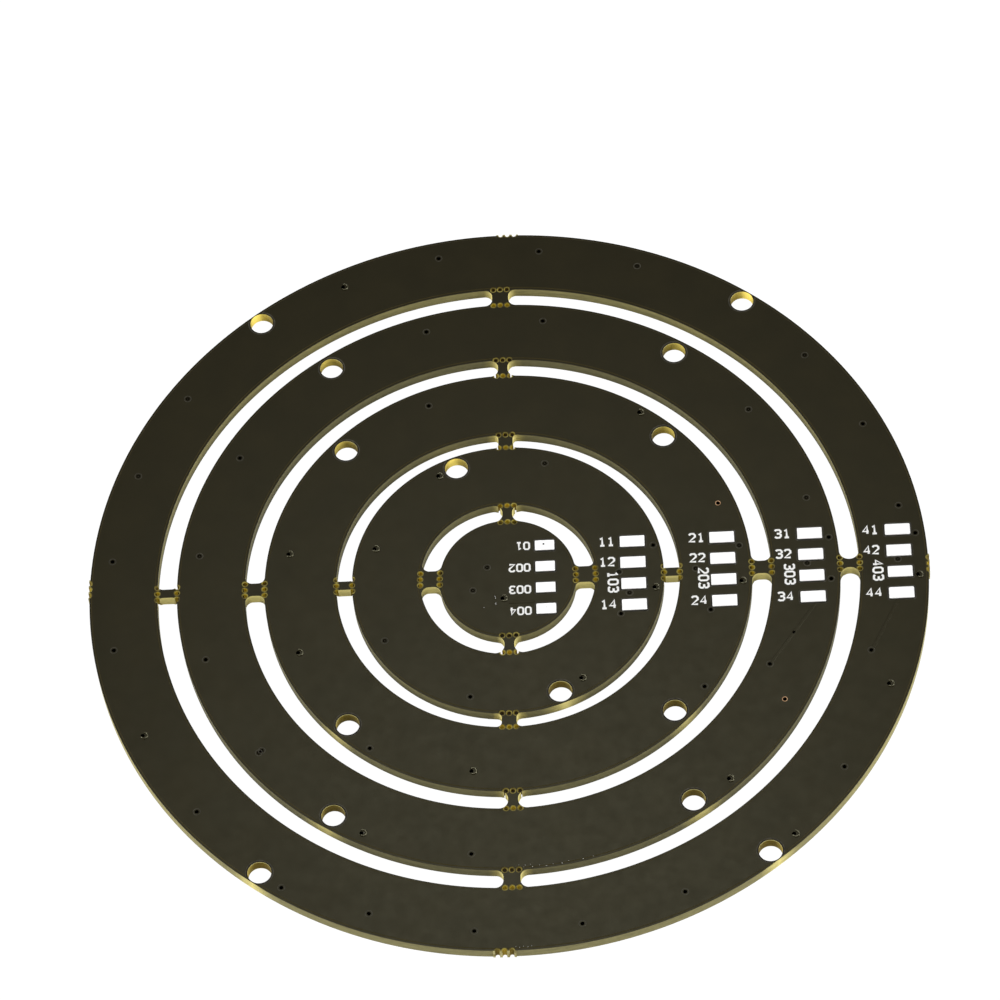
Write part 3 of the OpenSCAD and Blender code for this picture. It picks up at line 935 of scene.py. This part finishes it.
legend = {
    "stroke": 0.235,
    "thickness": 0.02,
    "digitWidth": 0.6,   # between the middles of the strokes
    "digitHeight": 0.94,
    "pitch": 0.88,
    # the disc's numbers are smaller and upside down
    "disc": {"left": 2.38, "scale": 0.88,
             "rows": [("01", 4.32), ("002", 1.7), ("003", -0.92), ("004", -3.48)]},
    "ringLeft": [9.35, 18.6, 27.4, 36.4],
    # what follows the ring's number, its place beside the ring's left edge and its turn
    "ring": [("1", 0, 3.28, 0), ("2", 0, 0.84, 0), ("03", 0.83, 0.27, -90), ("4", 0, -4.26, 0)],
}
digitStrokes = {   # corners on a grid 3 wide and 5 high
    "0": [[(0.7, 0), (0, 0.9), (0, 4.1), (0.7, 5), (2.3, 5), (3, 4.1), (3, 0.9), (2.3, 0), (0.7, 0)]],
    "1": [[(0.6, 4), (1.6, 5), (1.6, 0)], [(0.5, 0), (2.7, 0)]],
    "2": [[(0, 4.1), (0.7, 5), (2.3, 5), (3, 4.1), (3, 3), (0, 0), (3, 0)]],
    "3": [[(0, 4.4), (0.7, 5), (2.3, 5), (3, 4.1), (3, 3.3), (2.2, 2.6), (3, 1.9), (3, 0.9), (2.3, 0),
           (0.7, 0), (0, 0.6)], [(1, 2.6), (2.2, 2.6)]],
    "4": [[(2.3, 0), (2.3, 5), (0, 1.5), (3, 1.5)]],
}


def printedNumber(text, spot, angle, scale=1.0):
    # each stroke is a thin round line, flattened into ink
    line = bpy.data.curves.new("ink", "CURVE")
    line.dimensions = "3D"
    line.bevel_depth = legend["stroke"] / 2
    line.bevel_resolution = 2
    line.use_fill_caps = True
    for place, digit in enumerate(text):
        for stroke in digitStrokes[digit]:
            spline = line.splines.new("POLY")
            spline.points.add(len(stroke) - 1)
            for point, (x, y) in zip(spline.points, stroke):
                point.co = (place * legend["pitch"] + x / 3 * legend["digitWidth"],
                            y / 5 * legend["digitHeight"], 0, 1)
    number = meshFromCurve("number", line)
    half = legend["stroke"] / 2
    flat = Matrix.Diagonal((scale, scale, legend["thickness"] / half, 1))
    number.data.transform(moved(*spot, boardTop) @ turned(angle) @ flat @ moved(half, half))
    paint(number, inkMaterial)
    return number


def makeLegends():
    disc = legend["disc"]
    numbers = [printedNumber(text, (disc["left"], top), 180, disc["scale"]) for text, top in disc["rows"]]
    for ring, left in enumerate(legend["ringLeft"], start=1):
        numbers += [printedNumber(str(ring) + text, (left + aside, top), turn)
                    for text, aside, top, turn in legend["ring"]]
    finishPiece(joined(numbers), "pad_numbers", smooth=60)


makeLegends()


# the LEDs are drawn on the board's face at Z = 0 with the light along +Z, then turned over below the board
housing = {"width": 5.0, "leadThickness": 0.15, "cupDepth": 0.8, "cupMouth": 4.1, "cupFloor": 3.3,
           "mark": 0.7, "markDepth": 0.45, "draft": 0.02, "edge": 0.07}
overturn = turned(90) @ turned(180, "X")


def ledPlaces(part, offset=0.0, radius=None):
    step = leds["steps"][part]
    radius = leds["radii"][part] if radius is None else radius
    return [turned(step * (i + offset)) @ moved(radius, 0, boardBottom) @ overturn
            for i in range(round(360 / step))]


def fourWays(piece):
    # one piece at each of the four terminals
    made = [copyOf(piece, Matrix.Diagonal((x, y, 1, 1))) for x in (1, -1) for y in (1, -1)]
    bpy.data.objects.remove(piece)
    whole = joined(made)
    startEdit(whole)
    closeEdit()
    return whole


def ledHousing():
    half, parting = housing["width"] / 2, ledHeight - housing["cupDepth"]
    shell = addBlock((-half, -half, housing["leadThickness"]), (half, half, ledHeight))
    startEdit(shell)
    bpy.ops.mesh.bisect(plane_co=(0, 0, parting), plane_no=(0, 0, 1))
    pick(shell, "FACE", lambda face: abs(face.normal.z) > 0.9)
    bpy.ops.transform.resize(value=(1 - housing["draft"], 1 - housing["draft"], 1))
    topZ = ledHeight - 0.01
    pick(shell, "EDGE", lambda edge: upright(edge) or min(point.co.z for point in edge.verts) > topZ)
    bpy.ops.mesh.bevel(offset=housing["edge"], segments=2, affect="EDGES")
    endEdit()
    paint(shell, housingMaterial)
    depth = housing["cupDepth"]
    slope = (housing["cupMouth"] - housing["cupFloor"]) / 2 / depth
    bpy.ops.mesh.primitive_cone_add(vertices=32, radius1=housing["cupFloor"] / 2,
                                    radius2=housing["cupMouth"] / 2 + slope * outline["cut"],
                                    depth=depth + outline["cut"],
                                    location=(0, 0, parting + (depth + outline["cut"]) / 2))
    cup = bpy.context.object
    applyPlace(cup)
    mark = addBlock((-housing["mark"] * math.sqrt(0.5), -half, ledHeight - housing["markDepth"]),
                    (half, half, ledHeight + outline["cut"]))
    mark.data.transform(moved(half, half) @ turned(45))
    for tool in (cup, mark):
        paint(tool, housingMaterial)
        combine(shell, tool)
    return shell


solderFoot = {"lift": 0.02, "steps": 4, "profile": 0.15}   # a low profile hollows the slope
terminal = {"outside": 2.65, "from": 1.1, "to": 2.1,
            "filletHeight": 0.5, "hollow": 0.44, "overlap": 0.03, "toe": 0.08,
            "landStart": 1.5, "landEnd": 3.2, "landMargin": 0.07}
land = {"thickness": 0.035, "sink": 0.01}
capacitor = {"length": 1.6, "width": 0.8, "shift": 1.3, "discRadius": 4.825,
             "filletHeight": 0.42, "hollow": 0.33, "overlap": 0.02, "toe": 0.36,
             "landIn": 0.35, "landOut": 0.42, "landMargin": 0.08}


def hollowFoot(low, high, hollow, outer):
    # solder whose outer upper edge is hollowed down to its land
    foot = addBlock((*low, solderFoot["lift"]), high)
    startEdit(foot)
    pick(foot, "EDGE", lambda edge: all(outer(point.co) and point.co.z > 0.3 for point in edge.verts))
    bpy.ops.mesh.bevel(offset=hollow, segments=solderFoot["steps"], profile=solderFoot["profile"],
                       affect="EDGES")
    endEdit()
    return foot


def landPlate(low, high):
    return addBlock((*low, -land["sink"]), (*high, land["thickness"]))


def solderFillet():
    # from the lead's outer face down to the end of its land
    start, end, over = terminal["from"], terminal["to"], terminal["overlap"]
    foot = hollowFoot((terminal["outside"] - over, start - over),
                      (terminal["landEnd"] - terminal["toe"], end + over, terminal["filletHeight"]),
                      terminal["hollow"], lambda spot: spot.x > 3)
    plate = landPlate((terminal["landStart"], start - terminal["landMargin"]),
                      (terminal["landEnd"], end + terminal["landMargin"]))
    whole = joined([foot, plate])
    paint(whole, solderMaterial)
    return fourWays(whole)


def capacitorSolder():
    end, half, over = capacitor["length"] / 2, capacitor["width"] / 2, capacitor["overlap"]
    foot = hollowFoot((-half - over, end - over),
                      (half + over, end + capacitor["toe"], capacitor["filletHeight"]),
                      capacitor["hollow"], lambda spot: spot.y > end + 0.3)
    side = half + capacitor["landMargin"]
    plate = landPlate((-side, end - capacitor["landIn"]), (side, end + capacitor["landOut"]))
    foot = joined([foot, plate])
    paint(foot, solderMaterial)
    return joined([foot, copyOf(foot, turned(180))])


chips = {"offset": 0.65, "driverTop": 0.2, "emitterTop": 0.12}
wire = {"radius": 0.018, "rise": 0.22, "lean": 0.7, "steps": 6}


def bondWires():
    # thin gold loops from the driver to each emitter and to each plate
    floor, away = ledHeight - housing["cupDepth"], chips["offset"]
    driver, emitter = floor + chips["driverTop"], floor + chips["emitterTop"]
    runs = [((0.35, 0.8), driver, (-away, away), emitter), ((0.4, 0.45), driver, (-away, -away), emitter),
            ((0.75, 0.4), driver, (away, -away), emitter), ((0.9, 0.9), driver, (1.35, 1.15), floor),
            ((0.35, 0.6), driver, (-0.35, 1.25), floor), ((0.55, 0.38), driver, (-0.3, -0.3), floor),
            ((0.95, 0.42), driver, (1.2, -0.3), floor)]
    line = bpy.data.curves.new("wire", "CURVE")
    line.dimensions = "3D"
    line.bevel_depth = wire["radius"]
    line.bevel_resolution = 0
    for start, low, end, high in runs:
        spline = line.splines.new("POLY")
        spline.points.add(wire["steps"])
        for step, point in enumerate(spline.points):
            t = step / wire["steps"]
            loop = wire["rise"] * math.sin(math.pi * t ** wire["lean"])
            point.co = (start[0] + (end[0] - start[0]) * t, start[1] + (end[1] - start[1]) * t,
                        low + (high - low) * t + loop, 1)
    wires = meshFromCurve("wires", line)
    paint(wires, wireMaterial)
    return wires


def makeLeds():
    shell, solder, wires, ends = ledHousing(), solderFillet(), bondWires(), capacitorSolder()

    def laidOut(model, places):
        return joined([copyOf(model, place) for place in places])

    for k, part in enumerate(parts):
        node, plural = ("led_housing_", "") if k == 0 else ("led_housings_", "s")
        places = ledPlaces(k)
        finishPiece(laidOut(shell, places), "moulded_housing%s_%s" % (plural, part),
                    node + part, 40)
        finishPiece(laidOut(solder, places), "terminal_solder_" + part, smooth=40)
        finishPiece(laidOut(wires, places), "bond_wires_" + part, smooth=60)
        radius = capacitor["discRadius"] if k == 0 else leds["radii"][k] - capacitor["shift"]
        finishPiece(laidOut(ends, ledPlaces(k, 0.5, radius)), "capacitor_solder_" + part,
                    smooth=40)
    for model in (shell, solder, wires, ends):
        bpy.data.objects.remove(model)


makeLeds()


def dressNodes():
    looks = {"led_lens": fillingLook, "led_frame": frameMaterial, "driver_chip": siliconMaterial,
             "emitters": chipMaterial, "capacitor_ends": solderMaterial, "capacitor": ceramicMaterial}
    for name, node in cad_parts.items():
        for start, material in looks.items():
            if name.startswith(start):
                node.data.materials.clear()
                paint(node, material)
                break
    print("nodes dressed")


dressNodes()


stage = {"size": 6, "grey": 0.85, "glow": 1.08, "glowShare": 0.94, "worldLight": 0.44}


def makeFloor():
    # seen straight, mirrored or through the lenses it is white; as a surface it is lit like paper
    bpy.ops.mesh.primitive_plane_add(size=stage["size"], location=(0, 0, 0))
    floor = bpy.context.object
    floor.name = "floor"
    material = bpy.data.materials.new("paleFloor")
    material.use_nodes = True
    tree = material.node_tree
    tree.nodes.clear()
    path = addNode(tree, "LightPath")
    seen = addNode(tree, "Math", {0: path.outputs["Is Camera Ray"], 1: path.outputs["Is Glossy Ray"]},
                   operation="ADD")
    seen = addNode(tree, "Math", {0: seen.outputs[0], 1: path.outputs["Is Transmission Ray"]},
                   operation="ADD", use_clamp=True)
    share = addNode(tree, "Math", {0: seen.outputs[0], 1: stage["glowShare"]}, operation="MULTIPLY")
    lit = addNode(tree, "BsdfDiffuse", {"Color": (stage["grey"], stage["grey"], stage["grey"], 1)})
    glow = addNode(tree, "Emission", {"Color": (1, 1, 1, 1), "Strength": stage["glow"]})
    mix = addNode(tree, "MixShader", {"Fac": share.outputs[0], 1: lit.outputs[0], 2: glow.outputs[0]})
    out = addNode(tree, "OutputMaterial")
    tree.links.new(mix.outputs[0], out.inputs["Surface"])
    paint(floor, material)


def addLamp(name, azimuth, elevation, distance, size, power):
    # azimuth is measured from behind the panel, clockwise from above
    turn, rise = math.radians(azimuth), math.radians(elevation)
    flat = math.cos(rise)
    spot = Vector((math.sin(turn) * flat, math.cos(turn) * flat, math.sin(rise))) * distance
    bpy.ops.object.light_add(type="AREA", location=spot)
    lamp = bpy.context.object
    lamp.name = name
    lamp.data.size = size
    lamp.data.energy = power
    lamp.rotation_euler = (-spot).to_track_quat("-Z", "Y").to_euler()


# azimuth, elevation, distance, size and power
lamps = {"key": (-3, 66, 0.6, 0.16, 0.56), "left": (-104, 16, 0.9, 0.5, 4.6),
         "right": (104, 16, 0.9, 0.5, 4.6)}


def makeLights():
    world = bpy.data.worlds.new("studio")
    bpy.context.scene.world = world
    world.use_nodes = True
    world.node_tree.nodes["Background"].inputs["Color"].default_value = (1, 1, 1, 1)
    world.node_tree.nodes["Background"].inputs["Strength"].default_value = stage["worldLight"]
    for name, settings in lamps.items():
        addLamp(name, *settings)


aim = {"target": (-0.61, 9.54), "azimuth": 3.68, "elevation": 57.224, "roll": -5.712, "distance": 572.4,
       "lens": 199.5, "sensor": 36}


def makeCamera():
    # looks down on the panel from the -Y side, a little turned and tilted
    azimuth, elevation = math.radians(aim["azimuth"]), math.radians(aim["elevation"])
    back = Vector((math.sin(azimuth) * math.cos(elevation), -math.cos(azimuth) * math.cos(elevation),
                   math.sin(elevation)))
    target = Vector((*aim["target"], boardTop))
    right = (-back).cross(Vector((0, 0, 1))).normalized()
    up = right.cross(-back)
    roll = math.radians(aim["roll"])
    turnedRight = right * math.cos(roll) + up * math.sin(roll)
    turnedUp = up * math.cos(roll) - right * math.sin(roll)
    bpy.ops.object.camera_add()
    camera = bpy.context.object
    camera.data.lens = aim["lens"]
    camera.data.sensor_width = aim["sensor"]
    camera.matrix_world = Matrix.Translation((target + back * aim["distance"]) * mm) @ \
        Matrix((turnedRight, turnedUp, back)).transposed().to_4x4()
    bpy.context.scene.camera = camera


makeFloor()
makeLights()
makeCamera()
bpy.context.scene.view_settings.view_transform = "Standard"
print("stage set")
